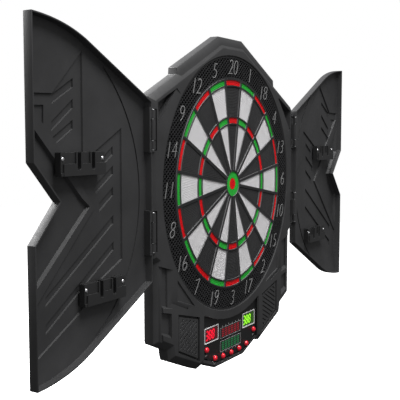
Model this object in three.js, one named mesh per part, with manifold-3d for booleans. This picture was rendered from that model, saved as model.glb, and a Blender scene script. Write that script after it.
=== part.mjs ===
// Electronic dartboard in a wall cabinet with two swing doors.
//
// Millimetres, +X to the right of a player facing the board, -Y towards the player, +Z up.
// The origin is the point where the bull's axis meets the wall.

import * as THREE from 'three';
import { mergeVertices } from 'three/addons/utils/BufferGeometryUtils.js';
import Module from 'manifold-3d';

const wasm = await Module();
wasm.setup();

// ---------------------------------------------------------------- driving dimensions

// Depths, from the player's side back to the wall.
const SPIDER_FRONT = -35;
const PAD_FRONT = -34;
const HOUSING_FRONT = -36;
const HOUSING_EDGE = -28.5;
const HOUSING_BACK = -13;
const WALL = 0;
const SHELL = 3;
const FACE_BACK = -32.5;
const FACE_INSET = 8;
const POCKET_FLOOR = -31;
const LINER = 2;
const GAP = 0.3;

// The scoring rings.
const INNER_BULL_R = 9.4;
const OUTER_BULL_R = 20.4;
const TRIPLE_R = [101, 110];
const DOUBLE_R = [163.4, 171.4];
const RING_GAP = 2.8;
const SIDE_GAP = 2.6;
const SEGMENTS = 20;
const SEGMENT_ANGLE = (2 * Math.PI) / SEGMENTS;
const ARC_STEPS = 2;
const ROUND = 72;
const PAD_CLEARANCE = 0.35;
const SPIDER_R = 174;
const SPIDER_DEPTH = 8;
const CARRIER_THICKNESS = 1.5;

// The catch ring round the target, and the round opening that it fills.
const CATCH_R = 209.8;
const CATCH_FLANGE_R = 214;
const CATCH_FRONT = -34.2;
const CATCH_BACK = -30.2;
const OPENING_R = 210.2;

// Front housing, right half of its outline from the top to the bottom, as [x, z].
const BODY_HALF = [
  [37, 230.8], [237, 135], [237, -100], [226.5, -106], [226.5, -223.4],
  [190.6, -239.7], [187, -257], [107.4, -290.1], [91, -286.3], [49.4, -302.3],
];
const BODY_CHAMFER = 10;
const HOOD_HALF = [[39.2, 239.3], [161.6, 181], [163.5, 160]];
const HOOD_FRONT = -32.5;
const HOOD_CHAMFER = 8;

// Pockets moulded into the right half of the front face, as [x, z]: the upper corner, the
// triangle beside the target, and two beside the speaker block.
const POCKETS = [
  [[172, 149.5], [222, 127], [221, 94]],
  [[172, -136], [172, -168], [122, -185]],
  [[184, -119], [211, -111], [211, -172], [184, -177]],
  [[188, -184], [212, -178], [212, -212], [188, -221]],
];

// Rear housing: a flange that closes the front shell, and a tub inset behind it.
const TUB_HALF = [
  [32, 212], [212, 126], [212, -98], [204, -106], [204, -208],
  [168, -224], [168, -244], [100, -272], [45, -284],
];
const FLANGE_THICKNESS = 2.5;
const BASE_THICKNESS = 2.5;
const TUB_WALL = 2.5;

// Doors: u runs from the hinge axis to the free edge.
const HINGE_X = 239.5;
const HINGE_Y = -39;
const DOOR_LIP = -40;
const DOOR_BACK = -27;
const DOOR_WALL = 2.5;
const DOOR_EDGE_U = 1;
const DOOR_FREE_U = 238.9;
const DOOR_HINGE_Z = 127.5;
const DOOR_SHOULDER = [140, 197.3];
const DOOR_SHOULDER_CONTROL = [182.8, 218.2];
const DOOR_TOP_Z = 221;
const NOTCH_HALF = 48;
const NOTCH_DEPTH = 44.4;
const HINGE_SPANS = [[60.5, 115.5], [-84.5, -29.5]];
const ARM_HEIGHT = 12;
const ARM_LENGTH = 9;
const KNUCKLE_R = 4;
const KNUCKLE_WEB = 6;
const PIN_R = 1.5;
const HINGE_POCKET_U = 8.5;

// Dart holders, one upper and one lower on each door: centre u and z of the screw line.
const HOLDER_CENTRES = { upper: [150, 51.4], lower: [109, -115] };
const HOLDER_LENGTH = 84;
const HOLDER_SLOTS = [-17, 10];
const HOLDER_FRONT = -41;
const HOLDER_EAR_FRONT = -38.8;

// Control console.
const CONSOLE_FACE = -31;
const CONSOLE_BACK = -28.6;
const CONSOLE_HALF = 94;
const CONSOLE_TOP_R = 226.5;
const CONSOLE_TURN = 0.42;
const CONSOLE_SHOULDER_Z = -207;
const CONSOLE_BELOW_Z = -320;
const CONSOLE_TUCK = 4;
const DISPLAY = { x: 64.4, z: -242.5, width: 41, height: 21 };
const INDICATOR = { width: 69, height: 15.5, z: [-248, -270.5] };
const BUTTONS = [
  [-81.4, -264.9], [-54.4, -284.4], [-28.1, -287], [0, -287.4],
  [28.1, -287], [54.4, -284.4], [81.4, -264.9],
];
const BUTTON_R = 4.6;
const BUTTON_TOP = -35.2;

// Speaker grilles: corners of the right-hand opening, as [x, z].
const GRILLE = [[108, -205.5], [169.5, -189], [169.5, -247.5], [108, -275.5]];
const GRILLE_GROOVE = 3;
const GRILLE_FRONT = -35;

// Electronics.
const MAT_Y = [-25.8, -25];
const BOARD_Y = [-24.7, -23.1];
const FOAM_Y = [-23.7, -20.7];
const SENSOR_Y = [-20.4, -19.9];
const RIB_FRONT = -19.6;
const BATTERY_R = 7.1;
const BATTERY_LENGTH = 49;
const BATTERY_PITCH = 15.4;
const BATTERY_BAY = { x: 45, z: -237, width: 54, height: 50 };
const BAY_WALL = 2;
const BAY_FLOOR = -18;
const SPEAKER = { x: 138, z: -228, radius: 24 };
const JACK = { x: -120, z: -250 };

// ---------------------------------------------------------------- geometry helpers

// A closed three.js geometry as a solid that can be cut and joined. Triangles that shrink to a
// line when their corners are merged, such as those on the axis of a turned part, are dropped.
function solid(geometry) {
  const bare = geometry.clone();
  bare.deleteAttribute('normal');
  bare.deleteAttribute('uv');
  const merged = mergeVertices(bare, 1e-4);
  const corners = merged.index.array;
  const triangles = [];
  for (let i = 0; i < corners.length; i += 3) {
    const [a, b, c] = [corners[i], corners[i + 1], corners[i + 2]];
    if (a !== b && b !== c && c !== a) triangles.push(a, b, c);
  }
  return new wasm.Manifold(new wasm.Mesh({
    numProp: 3,
    vertProperties: new Float32Array(merged.attributes.position.array),
    triVerts: new Uint32Array(triangles),
  }));
}

function geometryOf(body) {
  const mesh = body.getMesh();
  const geometry = new THREE.BufferGeometry();
  geometry.setAttribute('position', new THREE.BufferAttribute(new Float32Array(mesh.vertProperties), 3));
  geometry.setIndex(new THREE.BufferAttribute(new Uint32Array(mesh.triVerts), 1));
  geometry.computeVertexNormals();
  return geometry;
}

function shapeOf(points) {
  return new THREE.Shape(points.map(([x, z]) => new THREE.Vector2(x, z)));
}

// Turns a sketch in x and z into a slab from depth y = front to depth y = back.
function prism(points, front, back) {
  const geometry = new THREE.ExtrudeGeometry(shapeOf(points), {
    depth: back - front, bevelEnabled: false, curveSegments: 12,
  });
  geometry.rotateX(Math.PI / 2);
  geometry.translate(0, back, 0);
  return solid(geometry);
}

// A slab with its front edge bevelled from the depth HOUSING_EDGE to the face, inset by width.
function chamferedPrism(points, front, back, width) {
  const depth = HOUSING_EDGE - front;
  const geometry = new THREE.ExtrudeGeometry(shapeOf(points), {
    depth: back - HOUSING_EDGE,
    bevelEnabled: true, bevelSegments: 1, bevelThickness: depth, bevelSize: width, bevelOffset: -width,
  });
  geometry.rotateX(Math.PI / 2);
  geometry.translate(0, back, 0);
  const body = prism(points, HOUSING_EDGE, back);
  const beyond = box([-600, 600], [HOUSING_EDGE, back + 60], [-600, 600]);
  return body.add(solid(geometry).subtract(beyond));
}

function box([x0, x1], [y0, y1], [z0, z1]) {
  const geometry = new THREE.BoxGeometry(x1 - x0, y1 - y0, z1 - z0);
  geometry.translate((x0 + x1) / 2, (y0 + y1) / 2, (z0 + z1) / 2);
  return solid(geometry);
}

// A solid of revolution about a line along Y through [x, z]; the profile is [radius, y].
function turned(profile, x = 0, z = 0, sides = 36) {
  const points = profile.map(([r, y]) => new THREE.Vector2(r, y));
  const geometry = new THREE.LatheGeometry(points, sides);
  geometry.translate(x, 0, z);
  return solid(geometry);
}

function disc(radius, front, back, x = 0, z = 0, sides = 36) {
  return turned([[0, front], [radius, front], [radius, back], [0, back]], x, z, sides);
}

function annulus(inner, outer, front, back, sides = ROUND) {
  const profile = [[inner, front], [outer, front], [outer, back], [inner, back], [inner, front]];
  return turned(profile, 0, 0, sides);
}

// A cylinder along Z.
function post(radius, x, y, z0, z1, sides = 16) {
  const geometry = new THREE.CylinderGeometry(radius, radius, z1 - z0, sides);
  geometry.rotateX(Math.PI / 2);
  geometry.translate(x, y, (z0 + z1) / 2);
  return solid(geometry);
}

function mirrorX(points) {
  return points.map(([x, z]) => [-x, z]).reverse();
}

// The whole outline from its right half.
function bothHalves(half) {
  return [...mirrorX(half), ...half];
}

// Moves every edge of a polygon inwards by distance.
function inset(points, distance) {
  const area = points.reduce((sum, [x, z], i) => {
    const [nx, nz] = points[(i + 1) % points.length];
    return sum + x * nz - nx * z;
  }, 0);
  const turn = Math.sign(area);
  return points.map((point, i) => {
    const before = points[(i + points.length - 1) % points.length];
    const after = points[(i + 1) % points.length];
    const a = new THREE.Vector2(point[0] - before[0], point[1] - before[1]).normalize();
    const b = new THREE.Vector2(after[0] - point[0], after[1] - point[1]).normalize();
    const normalA = new THREE.Vector2(-a.y, a.x).multiplyScalar(turn);
    const normalB = new THREE.Vector2(-b.y, b.x).multiplyScalar(turn);
    const middle = normalA.clone().add(normalB).normalize();
    const reach = distance / Math.max(0.35, middle.dot(normalA));
    return [point[0] + middle.x * reach, point[1] + middle.y * reach];
  });
}

// Points of an arc about the bull, clockwise angles from the top.
function arc(radius, from, to, steps) {
  return Array.from({ length: steps + 1 }, (_, i) => {
    const angle = from + ((to - from) * i) / steps;
    return [radius * Math.sin(angle), radius * Math.cos(angle)];
  });
}

// A slice of a ring, centred on the given angle, its sides parallel to the slice's edges.
function sector(inner, outer, centre, sideGap, steps) {
  const half = (radius) => SEGMENT_ANGLE / 2 - Math.asin(sideGap / radius);
  return [
    ...arc(outer, centre - half(outer), centre + half(outer), steps),
    ...arc(inner, centre + half(inner), centre - half(inner), steps),
  ];
}

// ---------------------------------------------------------------- materials and scene graph

const LOOKS = {
  blackPlastic: { color: 0x333335, roughness: 0.55, metalness: 0 },
  meshPlastic: { color: 0x17171a, roughness: 0.6, metalness: 0 },
  redPad: { color: 0xc00a12, roughness: 0.5, metalness: 0 },
  greenPad: { color: 0x2cc23c, roughness: 0.5, metalness: 0 },
  whitePad: { color: 0xcfccd0, roughness: 0.5, metalness: 0 },
  blackPad: { color: 0x222224, roughness: 0.55, metalness: 0 },
  buttonRed: { color: 0xd4122e, roughness: 0.25, metalness: 0 },
  redDisplay: { color: 0xa01020, roughness: 0.3, metalness: 0 },
  greenDisplay: { color: 0x58b818, roughness: 0.3, metalness: 0 },
  steel: { color: 0xc8c8cc, roughness: 0.3, metalness: 1 },
  circuit: { color: 0x1d5a32, roughness: 0.5, metalness: 0 },
  foam: { color: 0x9a9a94, roughness: 0.95, metalness: 0 },
  film: { color: 0xd8d4c4, roughness: 0.3, metalness: 0 },
  rubber: { color: 0x8c8c8c, roughness: 0.8, metalness: 0 },
  battery: { color: 0x3b6ea5, roughness: 0.35, metalness: 0.4 },
};

const dartboard = new THREE.Group();

function addPart(name, body, look) {
  const mesh = new THREE.Mesh(geometryOf(body), new THREE.MeshStandardMaterial(LOOKS[look]));
  mesh.name = name;
  dartboard.add(mesh);
}

// ---------------------------------------------------------------- front housing

const bodyOutline = bothHalves(BODY_HALF);
const consoleField = [
  ...arc(CONSOLE_TOP_R, Math.PI + CONSOLE_TURN, Math.PI - CONSOLE_TURN, 12),
  [CONSOLE_HALF, CONSOLE_SHOULDER_Z], [CONSOLE_HALF, CONSOLE_BELOW_Z],
  [-CONSOLE_HALF, CONSOLE_BELOW_Z], [-CONSOLE_HALF, CONSOLE_SHOULDER_Z],
];

function onBothSides(points, front, back) {
  return prism(points, front, back).add(prism(mirrorX(points), front, back));
}

// The recess in the housing's edge where a door's hinge arms work, grown by margin.
function hingePocket(side, [low, high], floor, margin) {
  const inner = HINGE_X - HINGE_POCKET_U - 6 - margin;
  const outer = HINGE_X - 2.6 + 6 * (margin === 0);
  return box(span(side, inner, outer), [HOUSING_FRONT - 5, floor], [low - 2 - margin, high + 2 + margin]);
}

// An interval of x on the right or the left of the board.
function span(side, inner, outer) {
  return side > 0 ? [inner, outer] : [-outer, -inner];
}

// The housing's own knuckle, between the two arms of the door.
function housingKnuckle(side, [low, high]) {
  const z0 = low + ARM_HEIGHT + 0.8;
  const z1 = high - ARM_HEIGHT - 0.8;
  const web = box(span(side, HINGE_X - KNUCKLE_WEB, HINGE_X), [HINGE_Y, HOUSING_FRONT + 6], [z0, z1]);
  const foot = box(span(side, HINGE_X - KNUCKLE_WEB, HINGE_X - 2.6), [HINGE_Y, HOUSING_FRONT + 8], [z0, z1]);
  return web.add(foot).add(post(KNUCKLE_R, side * HINGE_X, HINGE_Y, z0, z1));
}

function pinHole(side, [low, high]) {
  return post(PIN_R + GAP, side * HINGE_X, HINGE_Y, low - 5, high + 5);
}

function frontHousing() {
  const hoodOutline = bothHalves(HOOD_HALF);
  let body = chamferedPrism(bodyOutline, HOUSING_FRONT, HOUSING_BACK, BODY_CHAMFER);
  body = body.add(chamferedPrism(hoodOutline, HOOD_FRONT, HOUSING_BACK, HOOD_CHAMFER));
  body = body.subtract(prism(inset(bodyOutline, SHELL), HOUSING_EDGE, HOUSING_BACK + 1));
  body = body.subtract(prism(inset(bodyOutline, FACE_INSET), FACE_BACK, HOUSING_BACK + 1));
  for (const pocket of POCKETS) {
    body = body.add(onBothSides(inset(pocket, -LINER), HOUSING_FRONT + 1, POCKET_FLOOR + LINER));
    body = body.subtract(onBothSides(pocket, HOUSING_FRONT - 5, POCKET_FLOOR));
  }
  body = body.subtract(prism(consoleField, HOUSING_FRONT - 5, CONSOLE_FACE));
  body = body.subtract(onBothSides(GRILLE, HOUSING_FRONT - 5, HOUSING_BACK));
  body = body.subtract(disc(OPENING_R, HOUSING_FRONT - 5, HOUSING_BACK, 0, 0, ROUND));
  for (const side of [-1, 1]) {
    for (const hinge of HINGE_SPANS) {
      body = body.add(hingePocket(side, hinge, HOUSING_FRONT + 7, 2).intersect(
        prism(bodyOutline, HOUSING_FRONT + 1, HOUSING_BACK)));
      body = body.subtract(hingePocket(side, hinge, HOUSING_FRONT + 4.5, 0));
      body = body.add(housingKnuckle(side, hinge)).subtract(pinHole(side, hinge));
    }
  }
  return body;
}

// ---------------------------------------------------------------- rear housing

// Rings and spokes that back the sensor membrane.
function supportRibs() {
  let ribs = annulus(160, 162, RIB_FRONT, WALL - BASE_THICKNESS / 2, 36);
  for (const radius of [50, 105]) {
    ribs = ribs.add(annulus(radius, radius + 2, RIB_FRONT, WALL - BASE_THICKNESS / 2, 24));
  }
  for (let i = 0; i < 8; i += 1) {
    const spoke = box([20, 172], [RIB_FRONT, WALL - BASE_THICKNESS / 2], [-1.25, 1.25]);
    ribs = ribs.add(spoke.rotate([0, 22.5 + 45 * i, 0]));
  }
  return ribs;
}

// A hole for hanging the board on a screw head: a round entry with a slot above it.
function keyhole(x, z) {
  const entry = disc(4.5, WALL - BASE_THICKNESS - 2, WALL + 2, x, z, 24);
  return entry.add(box([x - 2.3, x + 2.3], [WALL - BASE_THICKNESS - 2, WALL + 2], [z, z + 13]));
}

function batteryBayWalls() {
  const { x, z, width, height } = BATTERY_BAY;
  const halfWidth = width / 2 + BAY_WALL;
  const halfHeight = height / 2 + BAY_WALL;
  return box([x - halfWidth, x + halfWidth], [BAY_FLOOR, WALL], [z - halfHeight, z + halfHeight]);
}

function batteryBayHollow() {
  const { x, z, width, height } = BATTERY_BAY;
  return box([x - width / 2, x + width / 2], [-30, WALL + 2], [z - height / 2, z + height / 2]);
}

function rearHousing() {
  const tubOutline = bothHalves(TUB_HALF);
  const flange = inset(bodyOutline, SHELL + GAP);
  let body = prism(flange, HOUSING_BACK, HOUSING_BACK + FLANGE_THICKNESS);
  body = body.add(prism(tubOutline, HOUSING_BACK + 1, WALL));
  body = body.subtract(prism(inset(tubOutline, TUB_WALL), HOUSING_BACK - 5, WALL - BASE_THICKNESS));
  body = body.add(supportRibs()).add(batteryBayWalls()).subtract(batteryBayHollow());
  body = body.subtract(keyhole(-110, 120)).subtract(keyhole(110, 120)).subtract(keyhole(0, 192));
  body = body.subtract(box([JACK.x - 6, JACK.x + 6], [-10.4, -3.4], [JACK.z - 30, JACK.z - 5]));
  return body;
}

// ---------------------------------------------------------------- target

// The four scoring pads of one number: double, outer single, triple and inner single.
const PADS = [
  DOUBLE_R,
  [TRIPLE_R[1] + RING_GAP, DOUBLE_R[0] - RING_GAP],
  TRIPLE_R,
  [OUTER_BULL_R + RING_GAP, TRIPLE_R[0] - RING_GAP],
];
const SPIDER_BACK = SPIDER_FRONT + SPIDER_DEPTH;
const CARRIER_FRONT = SPIDER_BACK + GAP;

function spider() {
  let body = annulus(7, SPIDER_R, SPIDER_FRONT, SPIDER_BACK);
  for (let i = 0; i < SEGMENTS; i += 1) {
    for (const [inner, outer] of PADS) {
      const window = sector(inner - PAD_CLEARANCE, outer + PAD_CLEARANCE, i * SEGMENT_ANGLE,
        SIDE_GAP - PAD_CLEARANCE, ARC_STEPS);
      body = body.subtract(prism(window, SPIDER_FRONT - 1, SPIDER_BACK + 1));
    }
  }
  return body.subtract(disc(OUTER_BULL_R + PAD_CLEARANCE, SPIDER_FRONT - 1, SPIDER_BACK + 1));
}

// One number's pads on the thin carrier that joins them behind the spider.
function segment(index) {
  const centre = index * SEGMENT_ANGLE;
  const carrier = sector(OUTER_BULL_R + 3, DOUBLE_R[1] - 2, centre, 1.2, ARC_STEPS);
  let body = prism(carrier, CARRIER_FRONT, CARRIER_FRONT + CARRIER_THICKNESS);
  for (const [inner, outer] of PADS) {
    const pad = sector(inner, outer, centre, SIDE_GAP, ARC_STEPS);
    body = body.add(prism(pad, PAD_FRONT, CARRIER_FRONT + 0.5));
  }
  return body;
}

function outerBull() {
  const inner = INNER_BULL_R + 0.5;
  return turned([
    [inner, PAD_FRONT], [OUTER_BULL_R, PAD_FRONT], [OUTER_BULL_R, CARRIER_FRONT],
    [OUTER_BULL_R + 2, CARRIER_FRONT], [OUTER_BULL_R + 2, CARRIER_FRONT + CARRIER_THICKNESS],
    [inner, CARRIER_FRONT + CARRIER_THICKNESS], [inner, PAD_FRONT],
  ]);
}

function catchRing() {
  return turned([
    [SPIDER_R + GAP, CATCH_FRONT], [CATCH_R, CATCH_FRONT], [CATCH_R, FACE_BACK + GAP],
    [CATCH_FLANGE_R, FACE_BACK + GAP], [CATCH_FLANGE_R, CATCH_BACK], [SPIDER_R + GAP, CATCH_BACK],
    [SPIDER_R + GAP, CATCH_FRONT],
  ], 0, 0, ROUND);
}

// ---------------------------------------------------------------- console and speaker grilles

const consoleOutline = [
  ...arc(CONSOLE_TOP_R - CONSOLE_TUCK, Math.PI + 0.45, Math.PI - 0.45, 12),
  [98, -200], [98, -279.5], [89, -276.8], [47, -292.8],
  [-47, -292.8], [-89, -276.8], [-98, -279.5], [-98, -200],
];

function windowBox(x, z, width, height, margin, front, back) {
  return box([x - width / 2 - margin, x + width / 2 + margin], [front, back],
    [z - height / 2 - margin, z + height / 2 + margin]);
}

const WINDOWS = {
  left_display: [-DISPLAY.x, DISPLAY.z, DISPLAY.width, DISPLAY.height],
  right_display: [DISPLAY.x, DISPLAY.z, DISPLAY.width, DISPLAY.height],
  upper_indicator: [0, INDICATOR.z[0], INDICATOR.width, INDICATOR.height],
  lower_indicator: [0, INDICATOR.z[1], INDICATOR.width, INDICATOR.height],
};

function consolePanel() {
  let body = prism(consoleOutline, CONSOLE_FACE, CONSOLE_BACK);
  for (const window of Object.values(WINDOWS)) {
    body = body.subtract(windowBox(...window, GAP, CONSOLE_FACE - 1, CONSOLE_BACK + 1));
  }
  for (const [x, z] of BUTTONS) {
    body = body.subtract(disc(BUTTON_R + GAP, CONSOLE_FACE - 1, CONSOLE_BACK + 1, x, z, 14));
  }
  return body;
}

// A domed cap with the flange that keeps it behind the panel.
function pushButton(x, z) {
  const flangeFront = CONSOLE_BACK + GAP;
  const dome = Array.from({ length: 4 }, (_, i) => {
    const angle = (i * Math.PI) / 6;
    return [BUTTON_R * Math.sin(angle), BUTTON_TOP + 3 * (1 - Math.cos(angle))];
  });
  return turned([
    ...dome, [BUTTON_R, flangeFront], [BUTTON_R + 1.2, flangeFront],
    [BUTTON_R + 1.2, flangeFront + 1], [0, flangeFront + 1],
  ], x, z, 14);
}

function buttonMat() {
  const outline = bothHalves([[36, -281], [62, -275], [72, -256], [88, -256], [88, -271], [58, -292]]);
  return prism(outline, ...MAT_Y);
}

function mainBoard() {
  return prism(bothHalves([[86, -232], [86, -268], [58, -291]]), ...BOARD_Y);
}

function grille(side) {
  const outline = side > 0 ? GRILLE : mirrorX(GRILLE);
  let body = prism(inset(outline, GRILLE_GROOVE), GRILLE_FRONT, FACE_BACK + GAP + 1.5);
  body = body.add(prism(inset(outline, -2.5), FACE_BACK + GAP, FACE_BACK + GAP + 1.5));
  for (let i = 0; i < 9; i += 1) {
    const slot = box([-17, 17], [GRILLE_FRONT - 2, FACE_BACK + 4], [-1, 1]);
    body = body.subtract(slot.rotate([0, side * 40, 0]).translate([side * 139, 0, -203 - 6.4 * i]));
  }
  return body;
}

function speaker() {
  const { x, z, radius } = SPEAKER;
  return turned([
    [0, -29], [radius, -29], [radius, -27], [radius - 4, -26], [12, -18], [12, -15.5], [0, -15.5],
  ], x, z, 28);
}

// ---------------------------------------------------------------- rear fittings

function battery(index) {
  const { x, z } = BATTERY_BAY;
  const geometry = new THREE.CylinderGeometry(BATTERY_R, BATTERY_R, BATTERY_LENGTH, 24);
  geometry.rotateZ(Math.PI / 2);
  geometry.translate(x, WALL - 10.2, z + (index - 1) * BATTERY_PITCH);
  return solid(geometry);
}

function batteryCover() {
  const { x, z, width, height } = BATTERY_BAY;
  return windowBox(x, z, width, height, -GAP, WALL - 2.5, WALL - 0.2);
}

// Square socket body with a round hole facing down, let into the tub's lower wall.
function dcJack() {
  const body = box([JACK.x - 5.5, JACK.x + 5.5], [-10, -3.8], [JACK.z - 13, JACK.z + 2]);
  const hole = post(2.2, JACK.x, -6.9, JACK.z - 20, JACK.z - 3, 16);
  return body.subtract(hole);
}

// ---------------------------------------------------------------- doors

// A door's outline in u and z; the lower half mirrors the upper one.
function doorOutline() {
  const [shoulderU, shoulderZ] = DOOR_SHOULDER;
  const curve = new THREE.QuadraticBezierCurve(
    new THREE.Vector2(shoulderU, shoulderZ),
    new THREE.Vector2(...DOOR_SHOULDER_CONTROL),
    new THREE.Vector2(DOOR_FREE_U, DOOR_TOP_Z),
  );
  const shoulder = curve.getPoints(8).map((p) => [p.x, p.y]);
  const upper = [[DOOR_EDGE_U, DOOR_HINGE_Z], ...shoulder, [DOOR_FREE_U, NOTCH_HALF]];
  const lower = upper.map(([u, z]) => [u, -z]).reverse();
  return [...upper, [DOOR_FREE_U - NOTCH_DEPTH, 0], ...lower];
}

// From the door's own u and z to the board's x and z, with the door wide open.
function onDoor(side, points) {
  return points.map(([u, z]) => [side * (HINGE_X + u), z]);
}

function hingeArms(side, [low, high]) {
  let arms = null;
  for (const z0 of [low, high - ARM_HEIGHT]) {
    const across = span(side, HINGE_X, HINGE_X + ARM_LENGTH);
    const arm = box(across, [HINGE_Y - 1, HINGE_Y + KNUCKLE_R], [z0, z0 + ARM_HEIGHT])
      .add(post(KNUCKLE_R, side * HINGE_X, HINGE_Y, z0, z0 + ARM_HEIGHT));
    arms = arms ? arms.add(arm) : arm;
  }
  return arms;
}

function door(side) {
  const outline = onDoor(side, doorOutline());
  let body = prism(outline, DOOR_LIP, DOOR_BACK);
  body = body.subtract(prism(inset(outline, DOOR_WALL), DOOR_LIP - 1, DOOR_BACK - DOOR_WALL));
  for (const hinge of HINGE_SPANS) {
    const [low, high] = hinge;
    const rim = span(side, HINGE_X + 2, HINGE_X + ARM_LENGTH);
    const opening = span(side, HINGE_X - 2, HINGE_X + ARM_LENGTH - DOOR_WALL);
    body = body.add(box(rim, [DOOR_LIP, DOOR_BACK], [low - 4, high + 4]));
    body = body.subtract(box(opening, [DOOR_LIP - 5, DOOR_BACK + 5], [low - 1.5, high + 1.5]));
    body = body.add(hingeArms(side, hinge)).subtract(pinHole(side, hinge));
  }
  return body;
}

// A clip for darts: two screw ears, two slots open at the top and a solid lower block.
function dartHolder(side, [u, z]) {
  const x = side * (HINGE_X + u);
  const back = DOOR_BACK - DOOR_WALL - GAP;
  const half = HOLDER_LENGTH / 2;
  let body = box([x - half, x + half], [HOLDER_EAR_FRONT, back], [z - 21, z + 8]);
  body = body.add(box([x - half, x + half], [HOLDER_FRONT, back], [z - 21, z - 6]));
  for (const offset of HOLDER_SLOTS) {
    const slotX = x + side * offset;
    body = body.add(box([slotX - 6, slotX + 6], [HOLDER_FRONT, back], [z - 21, z + 8]));
    body = body.subtract(box([slotX - 3.2, slotX + 3.2], [HOLDER_FRONT - 1, back - 2], [z - 7, z + 9]));
  }
  return body;
}

// ---------------------------------------------------------------- assembly

addPart('front_housing', frontHousing(), 'blackPlastic');
addPart('rear_housing', rearHousing(), 'blackPlastic');
addPart('catch_ring', catchRing(), 'meshPlastic');
addPart('spider', spider(), 'meshPlastic');

const RING_ORDER = [20, 1, 18, 4, 13, 6, 10, 15, 2, 17, 3, 19, 7, 16, 8, 11, 14, 9, 12, 5];
RING_ORDER.forEach((number, index) => {
  const name = `segment_${String(number).padStart(2, '0')}`;
  addPart(name, segment(index), index % 2 === 0 ? 'blackPad' : 'whitePad');
});
addPart('outer_bull', outerBull(), 'greenPad');
addPart('inner_bull', disc(INNER_BULL_R, PAD_FRONT, CARRIER_FRONT + CARRIER_THICKNESS), 'redPad');

addPart('foam_backing', disc(172, ...FOAM_Y, 0, 0, 48), 'foam');
addPart('sensor_membrane', disc(174, ...SENSOR_Y, 0, 0, 48), 'film');

addPart('console_panel', consolePanel(), 'blackPlastic');
for (const [name, window] of Object.entries(WINDOWS)) {
  const look = name.startsWith('right') || name.startsWith('lower') ? 'greenDisplay' : 'redDisplay';
  addPart(name, windowBox(...window, 0, CONSOLE_FACE - 0.2, BOARD_Y[0] - GAP), look);
}
BUTTONS.forEach(([x, z], index) => addPart(`push_button_${index + 1}`, pushButton(x, z), 'buttonRed'));
addPart('button_mat', buttonMat(), 'rubber');
addPart('main_board', mainBoard(), 'circuit');
addPart('left_grille', grille(-1), 'blackPlastic');
addPart('right_grille', grille(1), 'blackPlastic');
addPart('speaker', speaker(), 'blackPlastic');

for (let i = 0; i < 3; i += 1) {
  addPart(`battery_${i + 1}`, battery(i), 'battery');
}
addPart('battery_cover', batteryCover(), 'blackPlastic');
addPart('dc_jack', dcJack(), 'blackPlastic');

for (const [name, side] of [['left', -1], ['right', 1]]) {
  addPart(`${name}_door`, door(side), 'blackPlastic');
  HINGE_SPANS.forEach((hinge, index) => {
    const place = index === 0 ? 'upper' : 'lower';
    const pin = post(PIN_R, side * HINGE_X, HINGE_Y, hinge[0], hinge[1]);
    addPart(`${name}_${place}_hinge_pin`, pin, 'steel');
    addPart(`${name}_${place}_dart_holder`, dartHolder(side, HOLDER_CENTRES[place]), 'blackPlastic');
  });
}

export default dartboard;
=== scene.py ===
"""Electronic dartboard in a wall cabinet with two swing doors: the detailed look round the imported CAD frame.

Sizes are in millimetres in the frame's own axes: +X to the right of a player facing the board, -Y towards
the player, +Z up, origin on the wall behind the bull. They become metres when a mesh is made.
"""

import math

import bmesh
import bpy
from mathutils import Matrix, Vector


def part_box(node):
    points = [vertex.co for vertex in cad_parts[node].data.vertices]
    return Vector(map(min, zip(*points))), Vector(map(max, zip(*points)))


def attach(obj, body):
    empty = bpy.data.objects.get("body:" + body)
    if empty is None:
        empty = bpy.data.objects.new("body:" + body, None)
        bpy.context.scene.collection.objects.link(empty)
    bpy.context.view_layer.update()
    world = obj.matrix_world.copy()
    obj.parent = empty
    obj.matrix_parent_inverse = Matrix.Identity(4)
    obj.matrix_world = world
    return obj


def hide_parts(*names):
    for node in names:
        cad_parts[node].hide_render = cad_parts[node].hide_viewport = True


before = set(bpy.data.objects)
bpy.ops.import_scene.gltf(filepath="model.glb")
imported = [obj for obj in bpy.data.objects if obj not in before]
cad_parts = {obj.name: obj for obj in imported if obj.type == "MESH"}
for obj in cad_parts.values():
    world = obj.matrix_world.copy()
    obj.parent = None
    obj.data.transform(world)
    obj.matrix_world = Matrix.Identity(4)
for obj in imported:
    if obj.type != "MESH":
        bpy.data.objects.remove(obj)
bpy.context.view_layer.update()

MM = 0.001


# ---- places taken from the frame


def box_mm(node):
    low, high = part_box(node)
    return low / MM, high / MM


def middle(node):
    low, high = box_mm(node)
    return (low + high) / 2


PAD_FRONT = box_mm("inner_bull")[0].y
INNER_BULL_R = box_mm("inner_bull")[1].x
SPIDER_FRONT = box_mm("spider")[0].y
SPIDER_BACK = box_mm("spider")[1].y
SPIDER_R = box_mm("spider")[1].x
CATCH_FRONT = box_mm("catch_ring")[0].y
CATCH_BACK = box_mm("catch_ring")[1].y
CATCH_FLANGE_R = box_mm("catch_ring")[1].x
CONSOLE_FACE = box_mm("console_panel")[0].y
CONSOLE_BACK = box_mm("console_panel")[1].y
HOUSING_BACK = box_mm("front_housing")[1].y
HINGE_X = middle("right_upper_hinge_pin").x
HINGE_Y = middle("right_upper_hinge_pin").y
DOOR_BACK = box_mm("right_door")[1].y

# ---- driving dimensions

NUMBERS = [20, 1, 18, 4, 13, 6, 10, 15, 2, 17, 3, 19, 7, 16, 8, 11, 14, 9, 12, 5]
SECTOR = 2 * math.pi / len(NUMBERS)
OUTER_BULL_R = 20.4
TRIPLE_R = (101.0, 110.0)
DOUBLE_R = (163.4, 171.4)
RING_GAP = 2.8
SIDE_GAP = 2.6
PAD_CLEARANCE = 0.35
PAD_SKIN = 1.6
HOLE_PITCH = 2.5
HOLE_SIZE = 1.75
WEB_RISE = 0.6
BULL_HOLE_PITCH = 2.9
BULL_HOLE_SIZE = 1.7
HOLE_SIDES = 6

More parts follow.
